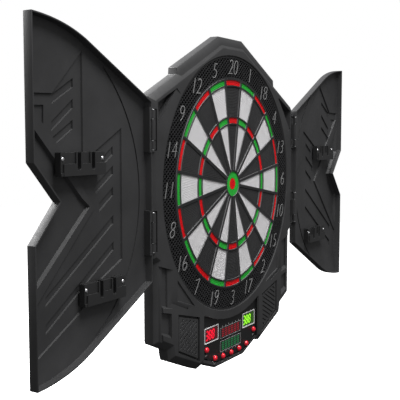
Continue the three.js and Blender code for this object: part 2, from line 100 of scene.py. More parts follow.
CATCH_R = 209.8
OPENING_R = 210.2
MESH_COLUMN = 4.3
MESH_ROW = 6.8
MESH_STRAND = 0.22
MESH_DEPTH = 3.0
NUMBER_R = 192.3
NUMBER_HEIGHT = 25.5
NUMBER_THINNING = 0.95

HOUSING_FRONT = -36.0
HOUSING_EDGE = -28.5
FACE_BACK = -32.5
BODY_HALF = [
    (37, 230.8), (237, 135), (237, -100), (226.5, -106), (226.5, -223.4),
    (190.6, -239.7), (187, -257), (107.4, -290.1), (91, -286.3), (49.4, -302.3),
]
BODY_CHAMFER = 10.0
HOOD_HALF = [(39.2, 239.3), (161.6, 181), (163.5, 160)]
HOOD_FRONT = -32.5
HOOD_CHAMFER = 8.0
SHELL = 3.0
POCKET_FLOOR = -30.8
SHALLOW_FLOOR = -34.2
CORNER_FLOOR = -24.0
POCKET_WALL = 2.0
# Each pocket's outlines at the face, part of the way down and at the floor, each with its depth.
POCKETS = [
    [([(172, 149.5), (222, 127), (221, 94)], HOUSING_FRONT),
     ([(174, 147), (221.5, 126), (219, 98)], CORNER_FLOOR)],
    [([(172, -136), (172, -168), (122, -185)], HOUSING_FRONT),
     ([(171, -139), (171, -167), (126, -182.5)], SHALLOW_FLOOR)],
    [([(184, -119), (211, -111), (211, -172), (184, -177)], HOUSING_FRONT),
     ([(196, -117), (211, -112), (211, -169), (196, -174)], -33.4),
     ([(197, -117), (210.8, -113), (210.8, -167), (197, -172)], POCKET_FLOOR)],
    [([(188, -184), (212, -178), (212, -212), (188, -221)], HOUSING_FRONT),
     ([(189, -185), (211.5, -180), (211.5, -208), (189, -216)], POCKET_FLOOR)],
]
RIM_STEP = [(211, -111.5), (232, -104.5), (232, -245), (211, -245)]
RIM_STEP_FACE = -33.6
GRILLE = [(108, -205.5), (169.5, -189), (169.5, -247.5), (108, -275.5)]
GRILLE_GROOVE = 3.0
GRILLE_FRONT = -34.4
GRILLE_BACK = -29.6
RIB_PITCH = 8.0
RIB_SLOPE = -0.5

CONSOLE_HALF = 94.0
CONSOLE_TOP_R = 226.5
CONSOLE_TURN = 0.42
CONSOLE_SHOULDER_Z = -207.0
CONSOLE_BELOW_Z = -330.0
WINDOW_FRONT = CONSOLE_FACE - 0.2
PRINT_BACK = CONSOLE_FACE - 0.02
BUTTONS = [f"push_button_{i}" for i in range(1, 8)]
BUTTON_HOLE_R = 4.9
BUTTON_R = 4.75
BUTTON_RISE = 4.6
BUTTON_TOP = CONSOLE_FACE - 5.4
DISPLAY_SIZE = (41.0, 21.0)
INDICATOR_SIZE = (69.0, 15.5)

HINGE_SPANS = {"upper": (60.5, 115.5), "lower": (-84.5, -29.5)}
ARM_HEIGHT = 12.0
KNUCKLE_R = 4.0
KNUCKLE_WEB = 6.0
PIN_R = 1.5
BORE_R = PIN_R + 0.3
DOOR_LIP = -40.0
DOOR_WALL = 2.5
DOOR_FLOOR = DOOR_BACK - DOOR_WALL
DOOR_EDGE_U = 2.8
DOOR_FREE_U = 238.9
DOOR_HINGE_Z = 127.5
DOOR_SHOULDER = (140, 197.3)
DOOR_SHOULDER_CONTROL = (182.8, 218.2)
DOOR_TOP_Z = 221.0
NOTCH_HALF = 48.0
NOTCH_DEPTH = 44.4
HOLDER_HALF = 42.0
HOLDER_SLOTS = (-17.0, 10.0)
HOLDER_SLOT_R = 3.2
HOLDER_BELOW = 21.0
HOLDER_SCREW_X = 38.0

SIDES = ((1, "right"), (-1, "left"))

# ---- outlines, as lists of (x, z)


def mirrored(points):
    return [(-x, z) for x, z in reversed(points)]


def both_halves(half):
    return mirrored(half) + list(half)


def arc(radius, start, end, steps, x=0.0, z=0.0):
    """Points on a circle, with angles clockwise from the top."""
    angles = [start + (end - start) * i / steps for i in range(steps + 1)]
    return [(x + radius * math.sin(a), z + radius * math.cos(a)) for a in angles]


def circle(radius, x=0.0, z=0.0, sides=32):
    return arc(radius, 0, 2 * math.pi, sides, x, z)[:-1]


def rectangle(x, z, width, height):
    w, h = width / 2, height / 2
    return [(x - w, z - h), (x + w, z - h), (x + w, z + h), (x - w, z + h)]


def inset(points, distance):
    """Moves every edge of an outline inwards."""
    count = len(points)
    area = sum(points[i][0] * points[(i + 1) % count][1] - points[(i + 1) % count][0] * points[i][1]
               for i in range(count))
    turn = 1 if area > 0 else -1
    moved = []
    for i, point in enumerate(points):
        here = Vector(point)
        before = (here - Vector(points[i - 1])).normalized()
        after = (Vector(points[(i + 1) % count]) - here).normalized()
        normal_a = Vector((-before.y, before.x)) * turn
        normal_b = Vector((-after.y, after.x)) * turn
        bisector = (normal_a + normal_b).normalized()
        reach = distance / max(0.35, bisector.dot(normal_a))
        moved.append(tuple(here + bisector * reach))
    return moved


def band(points, width):
    """A strip of the given width along an open line of points."""
    left, right = [], []
    for i, point in enumerate(points):
        here = Vector(point)
        ahead = Vector(points[min(i + 1, len(points) - 1)]) - Vector(points[max(i - 1, 0)])
        side = Vector((-ahead.y, ahead.x)).normalized() * width / 2
        left.append(tuple(here + side))
        right.append(tuple(here - side))
    return left + right[::-1]


def sector(inner, outer, centre, side_gap, steps):
    """A slice of a ring whose sides run parallel to the slice's edges."""

    def half(radius):
        return SECTOR / 2 - math.asin(side_gap / radius)

    return (arc(outer, centre - half(outer), centre + half(outer), steps)
            + arc(inner, centre + half(inner), centre - half(inner), steps))


# ---- meshes


class Form:
    """Points in millimetres and faces, gathered before they become one mesh."""

    def __init__(self):
        self.points = []
        self.faces = []

    def add(self, points):
        """Adds points and returns their numbers."""
        first = len(self.points)
        self.points += points
        return list(range(first, len(self.points)))

    def ring(self, outline, depth):
        return self.add([(x, depth, z) for x, z in outline])

    def wall(self, front, back):
        count = len(front)
        for i in range(count):
            j = (i + 1) % count
            self.faces.append((front[i], back[i], back[j], front[j]))

    def close(self, front, back):
        """Closes both ends of a wall."""
        self.faces += [tuple(front), tuple(reversed(back))]
        return self

    def loft(self, layers, closed=False):
        """A solid through (outline, depth) layers from front to back, or a ring if it closes on itself."""
        rings = [self.ring(outline, depth) for outline, depth in layers]
        for front, back in zip(rings, rings[1:]):
            self.wall(front, back)
        if not closed:
            return self.close(rings[0], rings[-1])
        self.wall(rings[-1], rings[0])
        return self

    def slab(self, outline, front, back):
        return self.loft([(outline, front), (outline, back)])

    def turned(self, profile, x=0.0, z=0.0, sides=32, closed=False):
        return self.loft([(circle(r, x, z, sides), y) for r, y in profile], closed)

    def post(self, radius, x, y, low, high, sides=20):
        """An upright cylinder."""
        spots = circle(radius, sides=sides)
        ends = [self.add([(x + px, y + py, z) for px, py in spots]) for z in (low, high)]
        self.wall(*ends)
        return self.close(*ends)

    def wedge(self, outline, front, depths):
        """A solid with a flat front and a back corner depth for each corner of the outline."""
        front_ring = self.ring(outline, front)
        back_ring = self.add([(x, depth, z) for (x, z), depth in zip(outline, depths)])
        self.wall(front_ring, back_ring)
        return self.close(front_ring, back_ring)

    def make(self, name, material=None, bevel=0.0, sharp=35, closed=True):
        """The form as an object. Faces of an open form keep the way they face."""
        mesh = bpy.data.meshes.new(name)
        mesh.from_pydata([Vector(p) * MM for p in self.points], [], self.faces)
        if closed:
            solid = bmesh.new()
            solid.from_mesh(mesh)
            bmesh.ops.recalc_face_normals(solid, faces=solid.faces)
            solid.to_mesh(mesh)
            solid.free()
        return finished(add_object(name, mesh), material, bevel, sharp=sharp)


def add_object(name, data):
    """Puts a mesh, a curve, a camera or a light into the scene."""
    obj = bpy.data.objects.new(name, data)
    bpy.context.scene.collection.objects.link(obj)
    return obj


def bevelled(obj, width, segments):
    """Rounds the sharp edges with a modifier, which it returns."""
    soft = obj.modifiers.new("soft_edges", "BEVEL")
    soft.width = width * MM
    soft.segments = segments
    soft.limit_method = "ANGLE"
    soft.angle_limit = math.radians(28)
    return soft


def finished(obj, material, bevel=0.0, segments=2, sharp=35):
    """Gives a mesh its material, soft edges and smooth round faces."""
    if material is not None:
        obj.data.materials.clear()
        obj.data.materials.append(material)
    obj.data.shade_smooth()
    obj.data.set_sharp_from_angle(angle=math.radians(sharp))
    if bevel:
        bevelled(obj, bevel, segments).harden_normals = True
    return obj


def bake(obj):
    """Turns an object's modifiers into its mesh."""
    graph = bpy.context.evaluated_depsgraph_get()
    mesh = bpy.data.meshes.new_from_object(obj.evaluated_get(graph))
    obj.modifiers.clear()
    obj.data = mesh
    return obj


def soften(obj, width, segments=2):
    """Rounds the edges that the shape has so far, before finer cuts are made."""
    bevelled(obj, width, segments)
    return bake(obj)


def combine(obj, tool, operation):
    """Adds, cuts or intersects a form or another object with an object's mesh."""
    if isinstance(tool, Form):
        tool = tool.make("tool")
    step = obj.modifiers.new("step", "BOOLEAN")
    step.object = tool
    step.operation = operation
    step.solver = "EXACT"
    bake(obj)
    bpy.data.objects.remove(tool)
    return obj


def cut(obj, tool):
    return combine(obj, tool, "DIFFERENCE")


def join(obj, tool):
    return combine(obj, tool, "UNION")


def place(obj, body, slot, *nodes):
    """The piece rides on a body and stands for CAD nodes; the finish named by slot is not used."""
    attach(obj, body)
    if nodes:
        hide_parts(*nodes)
    return obj


# ---- materials


def fill(node, values):
    """Sets some of a node's inputs."""
    for name, value in values.items():
        node.inputs[name].default_value = value
    return node


def new_material(name, values):
    """A material, its node tree and its shader, with values for some of the shader's inputs."""
    material = bpy.data.materials.new(name)
    material.use_nodes = True
    tree = material.node_tree
    return material, tree, fill(tree.nodes["Principled BSDF"], values)


def texture(tree, scale, detail=2.0, roughness=0.5):
    """Noise that is fixed to the object."""
    where = tree.nodes.new("ShaderNodeTexCoord")
    noise = tree.nodes.new("ShaderNodeTexNoise")
    fill(noise, {"Scale": scale, "Detail": detail, "Roughness": roughness})
    tree.links.new(where.outputs["Object"], noise.inputs["Vector"])
    return noise.outputs["Fac"]


def map_range(tree, value, source, target):
    """Maps one range of values onto another."""
    ramp = tree.nodes.new("ShaderNodeMapRange")
    fill(ramp, {"From Min": source[0], "From Max": source[1], "To Min": target[0], "To Max": target[1]})
    tree.links.new(value, ramp.inputs["Value"])
    return ramp.outputs["Result"]


def spread(tree, noise, low, high):
    """Maps a noise of 0.3 to 0.7 onto a range."""
    return map_range(tree, noise, (0.3, 0.7), (low, high))


def blend(tree, share, first, second):
    """A colour between two, each given as a colour or as a node's output."""
    mix = tree.nodes.new("ShaderNodeMix")
    mix.data_type = "RGBA"
    tree.links.new(share, mix.inputs["Factor"])
    for name, colour in (("A", first), ("B", second)):
        if isinstance(colour, tuple):
            mix.inputs[name].default_value = (*colour, 1)
        else:
            tree.links.new(colour, mix.inputs[name])
    return mix.outputs["Result"]


def two_tone(tree, noise, dark, pale):
    """A colour ramp that follows a noise."""
    shade = tree.nodes.new("ShaderNodeValToRGB")
    for element, colour in zip(shade.color_ramp.elements, (dark, pale)):
        element.color = (*colour, 1)
    tree.links.new(noise, shade.inputs["Fac"])
    return shade


def plastic(name, colour, roughness, grain=0.12, variation=0.15, specular=0.35, coat=0.0):
    """Moulded plastic: fine grain, slight colour and gloss variation."""
    material, tree, shader = new_material(name, {
        "Specular IOR Level": specular, "Coat Weight": coat, "Coat Roughness": 0.12,
    })
    share = spread(tree, texture(tree, 18, 3), 0, 1)
    dark = tuple(c * (1 - variation) for c in colour)
    pale = tuple(min(1, c * (1 + variation)) for c in colour)
    tree.links.new(blend(tree, share, dark, pale), shader.inputs["Base Color"])
    gloss = spread(tree, texture(tree, 140, 4), roughness - 0.07, roughness + 0.07)
    tree.links.new(gloss, shader.inputs["Roughness"])
    bump = fill(tree.nodes.new("ShaderNodeBump"), {"Strength": grain, "Distance": 0.0002})
    tree.links.new(texture(tree, 900, 2), bump.inputs["Height"])
    tree.links.new(bump.outputs["Normal"], shader.inputs["Normal"])
    return material


def walled_plastic(name, face, wall, roughness):
    """Plastic whose side walls are painted paler than the face turned to the player: a painted highlight for
    light falling on the walls.
    """
    material = plastic(name, face, roughness, grain=0.1)
    tree = material.node_tree
    base = tree.nodes["Principled BSDF"].inputs["Base Color"]
    surface = tree.nodes.new("ShaderNodeNewGeometry")
    axes = tree.nodes.new("ShaderNodeSeparateXYZ")
    tree.links.new(surface.outputs["True Normal"], axes.inputs["Vector"])
    facing = tree.nodes.new("ShaderNodeMath")
    facing.operation = "ABSOLUTE"
    tree.links.new(axes.outputs["Y"], facing.inputs[0])
    # Painted light: the more a face turns sideways, the more it takes the paler wall colour.
    share = map_range(tree, facing.outputs["Value"], (0.15, 0.75), (1.0, 0.0))
    tree.links.new(blend(tree, share, base.links[0].from_socket, wall), base)
    return material


def glowing(name, colour, strength):
    """A lit display segment behind tinted plastic."""
    lit = (*colour, 1)
    material, tree, shader = new_material(name, {"Base Color": lit, "Roughness": 0.35, "Emission Color": lit})
    level = spread(tree, texture(tree, 400, 1), strength * 0.9, strength * 1.1)
    tree.links.new(level, shader.inputs["Emission Strength"])
    return material


def metal(name, colour, roughness):
    """Plated metal with a fine uneven gloss."""
    material, tree, shader = new_material(name, {"Base Color": (*colour, 1), "Metallic": 1.0})
    level = spread(tree, texture(tree, 1500, 2), roughness - 0.08, roughness + 0.08)
    tree.links.new(level, shader.inputs["Roughness"])
    return material


def foam_material():
    """Open-cell foam in two tones."""
    material, tree, shader = new_material("damping_foam", {"Roughness": 0.95})
    shade = two_tone(tree, texture(tree, 1200, 4, 0.7), (0.18, 0.18, 0.17), (0.5, 0.5, 0.47))
    tree.links.new(shade.outputs["Color"], shader.inputs["Base Color"])
    return material


def circuit_material():
    """Green solder mask with faint tracks."""
    material, tree, shader = new_material("circuit_board", {"Roughness": 0.35})
    shade = two_tone(tree, texture(tree, 260, 0), (0.01, 0.10, 0.03), (0.03, 0.2, 0.06))
    shade.color_ramp.interpolation = "CONSTANT"
    shade.color_ramp.elements[1].position = 0.52
    tree.links.new(shade.outputs["Color"], shader.inputs["Base Color"])
    return material


HOUSING = plastic("black_housing", (0.033, 0.033, 0.034), 0.5, specular=0.3)
DOOR = plastic("black_door", (0.032, 0.032, 0.033), 0.52, specular=0.3)
DARK_MESH = plastic("black_mesh", (0.017, 0.017, 0.018), 0.5, grain=0.1, specular=0.3)
# Near-black sheet behind the mesh: painted shade for the depth behind the holes.
MESH_HOLE_SHADE = plastic("mesh_hole_shade", (0.002, 0.002, 0.002), 0.7, grain=0.1, specular=0.1)
# The dividers' paler side walls are painted light.
WEB = walled_plastic("divider_web", (0.018, 0.018, 0.019), (0.16, 0.16, 0.163), 0.42)
PANEL = plastic("console_plastic", (0.0075, 0.0075, 0.008), 0.38)
NUMBER = plastic("number_grey", (0.19, 0.19, 0.19), 0.5, grain=0.1)
PRINT = plastic("printed_white", (0.72, 0.72, 0.72), 0.6, grain=0.05)
LABEL = plastic("printed_grey", (0.30, 0.30, 0.30), 0.6, grain=0.05)
PADS = {
    "white": plastic("white_pad", (0.70, 0.69, 0.70), 0.5, grain=0.1, variation=0.03),
    "black": plastic("black_pad", (0.032, 0.032, 0.033), 0.5, grain=0.1),
    "red": plastic("red_pad", (0.74, 0.0015, 0.006), 0.42, grain=0.1, variation=0.05),
    "green": plastic("green_pad", (0.02, 0.43, 0.04), 0.42, grain=0.1, variation=0.05),
}
# Darker tones of each pad colour, painted as the shade at the foot of the holes.
PAD_HOLE_SHADES = {
    "white": plastic("white_pad_floor", (0.10, 0.10, 0.102), 0.7, grain=0.1, specular=0.1),
    "black": plastic("black_pad_floor", (0.003, 0.003, 0.003), 0.7, grain=0.1, specular=0.05),
    "red": plastic("red_pad_floor", (0.12, 0.001, 0.002), 0.7, grain=0.1, specular=0.1),
    "green": plastic("green_pad_floor", (0.004, 0.12, 0.01), 0.7, grain=0.1, specular=0.1),
}
BUTTON = plastic("button_red", (0.80, 0.003, 0.022), 0.22, grain=0.02, variation=0.04, specular=0.5, coat=0.6)
HOLDER = plastic("holder_black", (0.018, 0.018, 0.0185), 0.45)
RED_WINDOW = plastic("red_window", (0.11, 0.002, 0.006), 0.2, grain=0.0, specular=0.5, coat=0.4)
GREEN_WINDOW = plastic("green_window", (0.030, 0.12, 0.004), 0.2, grain=0.0, specular=0.5, coat=0.4)
DARK_WINDOW = plastic("dark_window", (0.010, 0.010, 0.010), 0.2, grain=0.0, specular=0.5, coat=0.4)
RED_LIGHT = glowing("red_light", (0.85, 0.004, 0.028), 0.62)
GREEN_LIGHT = glowing("green_light", (0.27, 0.80, 0.025), 0.72)
DIM_RED = glowing("dim_red_light", (0.30, 0.006, 0.016), 0.28)
DIM_GREEN = glowing("dim_green_light", (0.010, 0.17, 0.05), 0.28)
STEEL = metal("plated_steel", (0.82, 0.82, 0.84), 0.25)
FOAM = foam_material()
FILM = plastic("sensor_film", (0.7, 0.67, 0.55), 0.25, grain=0.02)
SILICONE = plastic("grey_silicone", (0.3, 0.3, 0.3), 0.7)
CIRCUIT = circuit_material()
CONE = plastic("speaker_paper", (0.03, 0.03, 0.03), 0.85, grain=0.6)
SLEEVE = plastic("battery_sleeve", (0.05, 0.16, 0.38), 0.3, grain=0.02)

# ---- target


def hole_cell(form, corners, centre, size):
    """The skin round one hole between four corners, with the hole's own wall."""
    outer = form.ring(corners, PAD_FRONT)
    start = math.atan2(corners[0][1] - centre[1], corners[0][0] - centre[0])
    turns = [start + 2 * math.pi * i / HOLE_SIDES for i in range(HOLE_SIDES)]
    hole = [(centre[0] + size / 2 * math.cos(a), centre[1] + size / 2 * math.sin(a)) for a in turns]
    lip, foot = form.ring(hole, PAD_FRONT), form.ring(hole, PAD_FRONT + PAD_SKIN)
    form.wall(lip, foot)
    stops = [round(i * HOLE_SIDES / 4) for i in range(4)] + [HOLE_SIDES]
    for k in range(4):
        rim = [lip[i % HOLE_SIDES] for i in range(stops[k], stops[k + 1] + 1)]
        form.faces.append(tuple([outer[(k + 1) % 4], outer[k]] + rim))


def perforated_pad(inner, outer, centre, back):
    """A scoring pad: a skin with rows of round holes along arcs, its sides and its back."""

    def half(radius):
        return SECTOR / 2 - math.asin(SIDE_GAP / radius)

    form = Form()
    rows = max(1, round((outer - inner) / HOLE_PITCH))
    step = (outer - inner) / rows
    for row in range(rows):
        low, high = inner + row * step, inner + (row + 1) * step
        wide = 2 * half((low + high) / 2) * (low + high) / 2
        count = max(1, round(wide / HOLE_PITCH))
        for i in range(count):
            share = [-1 + 2 * i / count, -1 + 2 * (i + 1) / count]
            corners = []
            for radius, s in ((low, share[0]), (low, share[1]), (high, share[1]), (high, share[0])):
                a = centre + s * half(radius)
                corners.append((radius * math.sin(a), radius * math.cos(a)))
            middle_x = sum(x for x, _ in corners) / 4
            middle_z = sum(z for _, z in corners) / 4
            hole_cell(form, corners, (middle_x, middle_z), min(HOLE_SIZE, 0.7 * step))
    outline = sector(inner, outer, centre, SIDE_GAP, 8)
    form.wall(form.ring(outline, PAD_FRONT), form.ring(outline, back))
    form.faces.append(tuple(reversed(form.ring(outline, back))))
    return form


def pad_floor(outline):
    """A dark sheet at the foot of a pad's holes: painted shade, darker than the pad."""
    form = Form()
    form.faces.append(tuple(form.ring(outline, PAD_FRONT + PAD_SKIN - 0.02)))
    return form


PAD_RINGS = {
    "double": DOUBLE_R,
    "outer_single": (TRIPLE_R[1] + RING_GAP, DOUBLE_R[0] - RING_GAP),
    "triple": TRIPLE_R,
    "inner_single": (OUTER_BULL_R + RING_GAP, TRIPLE_R[0] - RING_GAP),
}


def scoring_pads():
    """Four pads for each number, on the carrier that moves them together."""
    pad_back = SPIDER_BACK + 0.5
    for index, number in enumerate(NUMBERS):
        body = f"segment_{number:02d}"
        single, ring = ("black", "red") if index % 2 == 0 else ("white", "green")
        for ring_name, (inner, outer) in PAD_RINGS.items():
            colour = ring if ring_name in ("double", "triple") else single
            pad = perforated_pad(inner, outer, index * SECTOR, pad_back)
            piece = pad.make(f"pad_{number:02d}_{ring_name}", PADS[colour], closed=False)
            place(piece, body, f"{colour}_pad", body)
            # A sheet of painted shade under the holes of each pad.
            under = pad_floor(sector(inner, outer, index * SECTOR, SIDE_GAP, 8))
            piece = under.make(f"pad_{number:02d}_{ring_name}_floor", PAD_HOLE_SHADES[colour], closed=False)
            place(piece, body, f"{colour}_pad")
        carrier = Form().slab(sector(OUTER_BULL_R + 3, DOUBLE_R[1] - 2, index * SECTOR, 1.2, 6),
                              pad_back, pad_back + 1.3)
        place(carrier.make(f"pad_carrier_{number:02d}", WEB), body, "black_pad")


def perforated_disc(inner, outer, back):
    """A round pad with rows of holes on circles."""
    form = Form()
    rows = max(1, round((outer - inner) / BULL_HOLE_PITCH))
    step = (outer - inner) / rows
    for row in range(rows):
        low, high = inner + row * step, inner + (row + 1) * step
        count = max(6, round(math.pi * (low + high) / BULL_HOLE_PITCH))
        for i in range(count):
            turns = [2 * math.pi * i / count, 2 * math.pi * (i + 1) / count]
            ends = ((low, turns[0]), (low, turns[1]), (high, turns[1]), (high, turns[0]))
            corners = [(r * math.sin(a), r * math.cos(a)) for r, a in ends]
            middle_turn = sum(turns) / 2
            r = (low + high) / 2
            centre = (r * math.sin(middle_turn), r * math.cos(middle_turn))
            hole_cell(form, corners, centre, min(BULL_HOLE_SIZE, 0.6 * step))
    floor = PAD_FRONT + PAD_SKIN
    rim, bore = circle(outer, sides=64), circle(inner, sides=64)
    form.wall(form.ring(rim, PAD_FRONT), form.ring(rim, back))
    if inner > 1:
        form.wall(form.ring(bore, back), form.ring(bore, PAD_FRONT))
        form.wall(form.ring(rim, floor), form.ring(bore, floor))
    else:
        form.faces.append(tuple(form.ring(rim, floor)))
        form.slab(circle(inner, sides=24), PAD_FRONT, floor)
    return form


def bulls():
    """The outer bull round the inner bull."""
    back = box_mm("inner_bull")[1].y
    for name, colour, inner, outer in (("outer_bull", "green", INNER_BULL_R + 0.5, OUTER_BULL_R),
                                       ("inner_bull", "red", 0.9, INNER_BULL_R)):
        piece = perforated_disc(inner, outer, back).make(f"{name}_pad", PADS[colour], closed=False)
        place(piece, name, f"{colour}_pad", name)


def spider_web():
    """The web of dividers: rings and rays standing a little proud of the pads."""
    web = Form()
    hub = OUTER_BULL_R + PAD_CLEARANCE
    front = SPIDER_FRONT - WEB_RISE
    web.turned([(SPIDER_R, front), (SPIDER_R, SPIDER_BACK), (hub, SPIDER_BACK), (hub, front)],
               sides=120, closed=True)
    obj = web.make("divider_web")
    windows = Form()
    for index in range(len(NUMBERS)):
        for inner, outer in PAD_RINGS.values():
            steps = 8 if inner > 60 else 4
            outline = sector(inner - PAD_CLEARANCE, outer + PAD_CLEARANCE, index * SECTOR,
                             SIDE_GAP - PAD_CLEARANCE, steps)
            windows.slab(outline, front - 1, SPIDER_BACK + 1)
    cut(obj, windows)
    finished(obj, WEB, bevel=0.35, segments=2)
    place(obj, "cabinet", "mesh_plastic", "spider")


def catch_mesh():
    """The open mesh that catches darts outside the doubles: diamond holes over a near-black floor of painted
    shade.
    """
    inner, outer = SPIDER_R + 0.3, CATCH_R
    low, high = inner + 1.2, outer - 1.4
    form = Form()

    def on_ring(x, z):
        spot = Vector((x, z))
        return spot * (min(max(spot.length, low), high) / spot.length)

    cell = [(-MESH_COLUMN, 0), (0, -MESH_ROW / 2), (MESH_COLUMN, 0), (0, MESH_ROW / 2)]
    reach = int(outer / MESH_COLUMN) + 2
    for column in range(-reach, reach + 1):
        for row in range(-reach, reach + 1):
            x = column * MESH_COLUMN
            z = (row + 0.5 * (column % 2)) * MESH_ROW
            if not low - 1 < math.hypot(x, z) < high + 1:
                continue
            corners = [on_ring(x + across, z + up) for across, up in cell]
            centre = sum(corners, Vector((0, 0))) / len(corners)
            hole = [centre + (corner - centre) * (1 - MESH_STRAND) for corner in corners]
            rim = form.ring(corners, CATCH_FRONT)
            lip = form.ring(hole, CATCH_FRONT)
            foot = form.ring(hole, CATCH_FRONT + MESH_DEPTH)
            for i in range(4):
                j = (i + 1) % 4
                form.faces.append((rim[i], lip[i], lip[j], rim[j]))
            form.wall(lip, foot)
    front, back = CATCH_FRONT - 0.1, CATCH_FRONT + MESH_DEPTH
    for near, far in ((inner, low + 0.9), (high - 0.7, outer)):
        form.turned([(far, front), (far, back), (near, back), (near, front)], sides=144, closed=True)
    piece = form.make("catch_mesh_ring", DARK_MESH, closed=False)
    place(piece, "cabinet", "mesh_plastic", "catch_ring")
    top = back + 0.01
    # A near-black ring behind the holes: painted shade.
    floor = Form().turned([(CATCH_FLANGE_R, top), (CATCH_FLANGE_R, CATCH_BACK), (inner, CATCH_BACK),
                           (inner, top)], sides=144, closed=True)
    place(floor.make("catch_mesh_floor", MESH_HOLE_SHADE), "cabinet", "mesh_plastic")


def raised_numbers():
    """Thin italic numerals standing on the mesh."""
    for index, number in enumerate(NUMBERS):
        letters = bpy.data.curves.new(f"number_{number}", "FONT")
        letters.body = str(number)
        letters.size = NUMBER_HEIGHT * MM / 0.7
        letters.align_x = "CENTER"
        letters.align_y = "CENTER"
        letters.shear = 0.28
        letters.space_character = 0.92
        letters.offset = -NUMBER_THINNING * MM
        letters.extrude = 0.45 * MM
        letters.resolution_u = 5
        source = add_object("letters", letters)
        graph = bpy.context.evaluated_depsgraph_get()
        mesh = bpy.data.meshes.new_from_object(source.evaluated_get(graph))
        bpy.data.objects.remove(source)
        low = Vector([min(v.co[i] for v in mesh.vertices) for i in range(3)])
        high = Vector([max(v.co[i] for v in mesh.vertices) for i in range(3)])
        angle = index * SECTOR
        x, z = NUMBER_R * math.sin(angle), NUMBER_R * math.cos(angle)
        centre = Matrix.Translation(-(low + high) / 2)
        narrow = Matrix.Diagonal((0.92, 1, 1, 1))
        stand = Matrix.Rotation(math.pi / 2, 4, "X")
        there = Matrix.Translation(Vector((x, CATCH_FRONT - 0.35, z)) * MM)
        mesh.transform(there @ stand @ narrow @ centre)
        piece = finished(add_object(f"number_{number:02d}", mesh), NUMBER)
        place(piece, "cabinet", "number_grey")


# ---- front housing


def span(side, inner, outer):
    """An interval of x on the right or the left, low end first."""
    return (inner, outer) if side > 0 else (-outer, -inner)


def block(form, x, y, z):
    """A box given by its intervals."""
    outline = [(x[0], z[0]), (x[1], z[0]), (x[1], z[1]), (x[0], z[1])]
    return form.slab(outline, y[0], y[1])


def console_field(grow=0.0):
    """The sunken field's outline, which runs out past the foot of the housing."""
    half = CONSOLE_HALF + grow
    top = arc(CONSOLE_TOP_R - grow, math.pi + CONSOLE_TURN, math.pi - CONSOLE_TURN, 24)
    return top + [(half, CONSOLE_SHOULDER_Z), (half, CONSOLE_BELOW_Z),
                  (-half, CONSOLE_BELOW_Z), (-half, CONSOLE_SHOULDER_Z)]


def on_both_sides(form, outline, layers):
    """The same lofted cut on the right and the left; layers are (grow, depth)."""
    for points in (outline, mirrored(outline)):
        form.loft([(inset(points, -grow), depth) for grow, depth in layers])
    return form


def housing_shell():
    """The chamfered body and the hood over it, hollow from behind."""
    outline = both_halves(BODY_HALF)
    shell = Form().loft([(inset(outline, BODY_CHAMFER), HOUSING_FRONT), (outline, HOUSING_EDGE),
                         (outline, HOUSING_BACK)]).make("housing_shell")
    hood = both_halves(HOOD_HALF)
    join(shell, Form().loft([(inset(hood, HOOD_CHAMFER), HOOD_FRONT), (hood, HOUSING_EDGE),
                             (hood, HOUSING_BACK)]))
    cut(shell, Form().slab(inset(outline, SHELL), HOUSING_EDGE, HOUSING_BACK + 1))
    cut(shell, Form().slab(inset(outline, 8), FACE_BACK, HOUSING_EDGE + 1))
    return soften(shell, 0.7, 3)


def pocket_cups(shell):
    """The moulded pockets round the target, with walls behind the face."""
    cups, hollows = Form(), Form()
    for layers in POCKETS:
        mouth, depth = layers[0][0], layers[-1][1]
        on_both_sides(cups, mouth, [(POCKET_WALL, HOUSING_FRONT + 1), (POCKET_WALL, depth + POCKET_WALL)])
        for turn in (list, mirrored):
            steps = [(turn(outline), level) for outline, level in layers]
            hollows.loft([(inset(turn(mouth), -0.4), HOUSING_FRONT - 1)] + steps)
    join(shell, cups)
    cut(shell, hollows)
    cut(shell, on_both_sides(Form(), RIM_STEP, [(0.5, HOUSING_FRONT - 1), (0, RIM_STEP_FACE)]))


def knuckle(obj, side, arm, depths, z):
    """Joins a hinge knuckle and the arm that carries it."""
    join(obj, block(Form(), arm, depths, z))
    join(obj, Form().post(KNUCKLE_R, side * HINGE_X, HINGE_Y, *z))


def corner_facets(shell):
    """Slanted facets between the corner pockets and the target, and beside the speaker blocks."""
    facets = Form()
    top = [(173, 150), (222.5, 93), (207, 82), (160, 140)]
    foot = [(143, -186), (186, -169), (186, -164), (143, -181)]
    for points, deep in ((top, 1.5), (foot, 1.6)):
        floor = [HOUSING_FRONT + deep] * 2 + [HOUSING_FRONT - 0.1] * 2
        facets.wedge(points, HOUSING_FRONT - 1, floor)
        facets.wedge(mirrored(points), HOUSING_FRONT - 1, floor[::-1])
    cut(shell, facets)


def hinge_recesses(shell):
    """Recesses where the doors' hinge arms work, each with the housing's own knuckle."""
    outline = both_halves(BODY_HALF)
    for side in (-1, 1):
        for low, high in HINGE_SPANS.values():
            liner = block(Form(), span(side, HINGE_X - 16.5, HINGE_X - 2.6),
                          (HOUSING_FRONT + 1, HOUSING_FRONT + 7), (low - 4, high + 4)).make("liner")
            combine(liner, Form().slab(outline, HOUSING_FRONT, HOUSING_BACK), "INTERSECT")
            join(shell, liner)
            cut(shell, block(Form(), span(side, HINGE_X - 14.5, HINGE_X + 3.4),
                             (HOUSING_FRONT - 5, HOUSING_FRONT + 4.5), (low - 2, high + 2)))
            z = (low + ARM_HEIGHT + 0.8, high - ARM_HEIGHT - 0.8)
            web = span(side, HINGE_X - KNUCKLE_WEB, HINGE_X)
            knuckle(shell, side, web, (HINGE_Y, HOUSING_FRONT + 6), z)
            cut(shell, Form().post(BORE_R, side * HINGE_X, HINGE_Y, low - 5, high + 5))


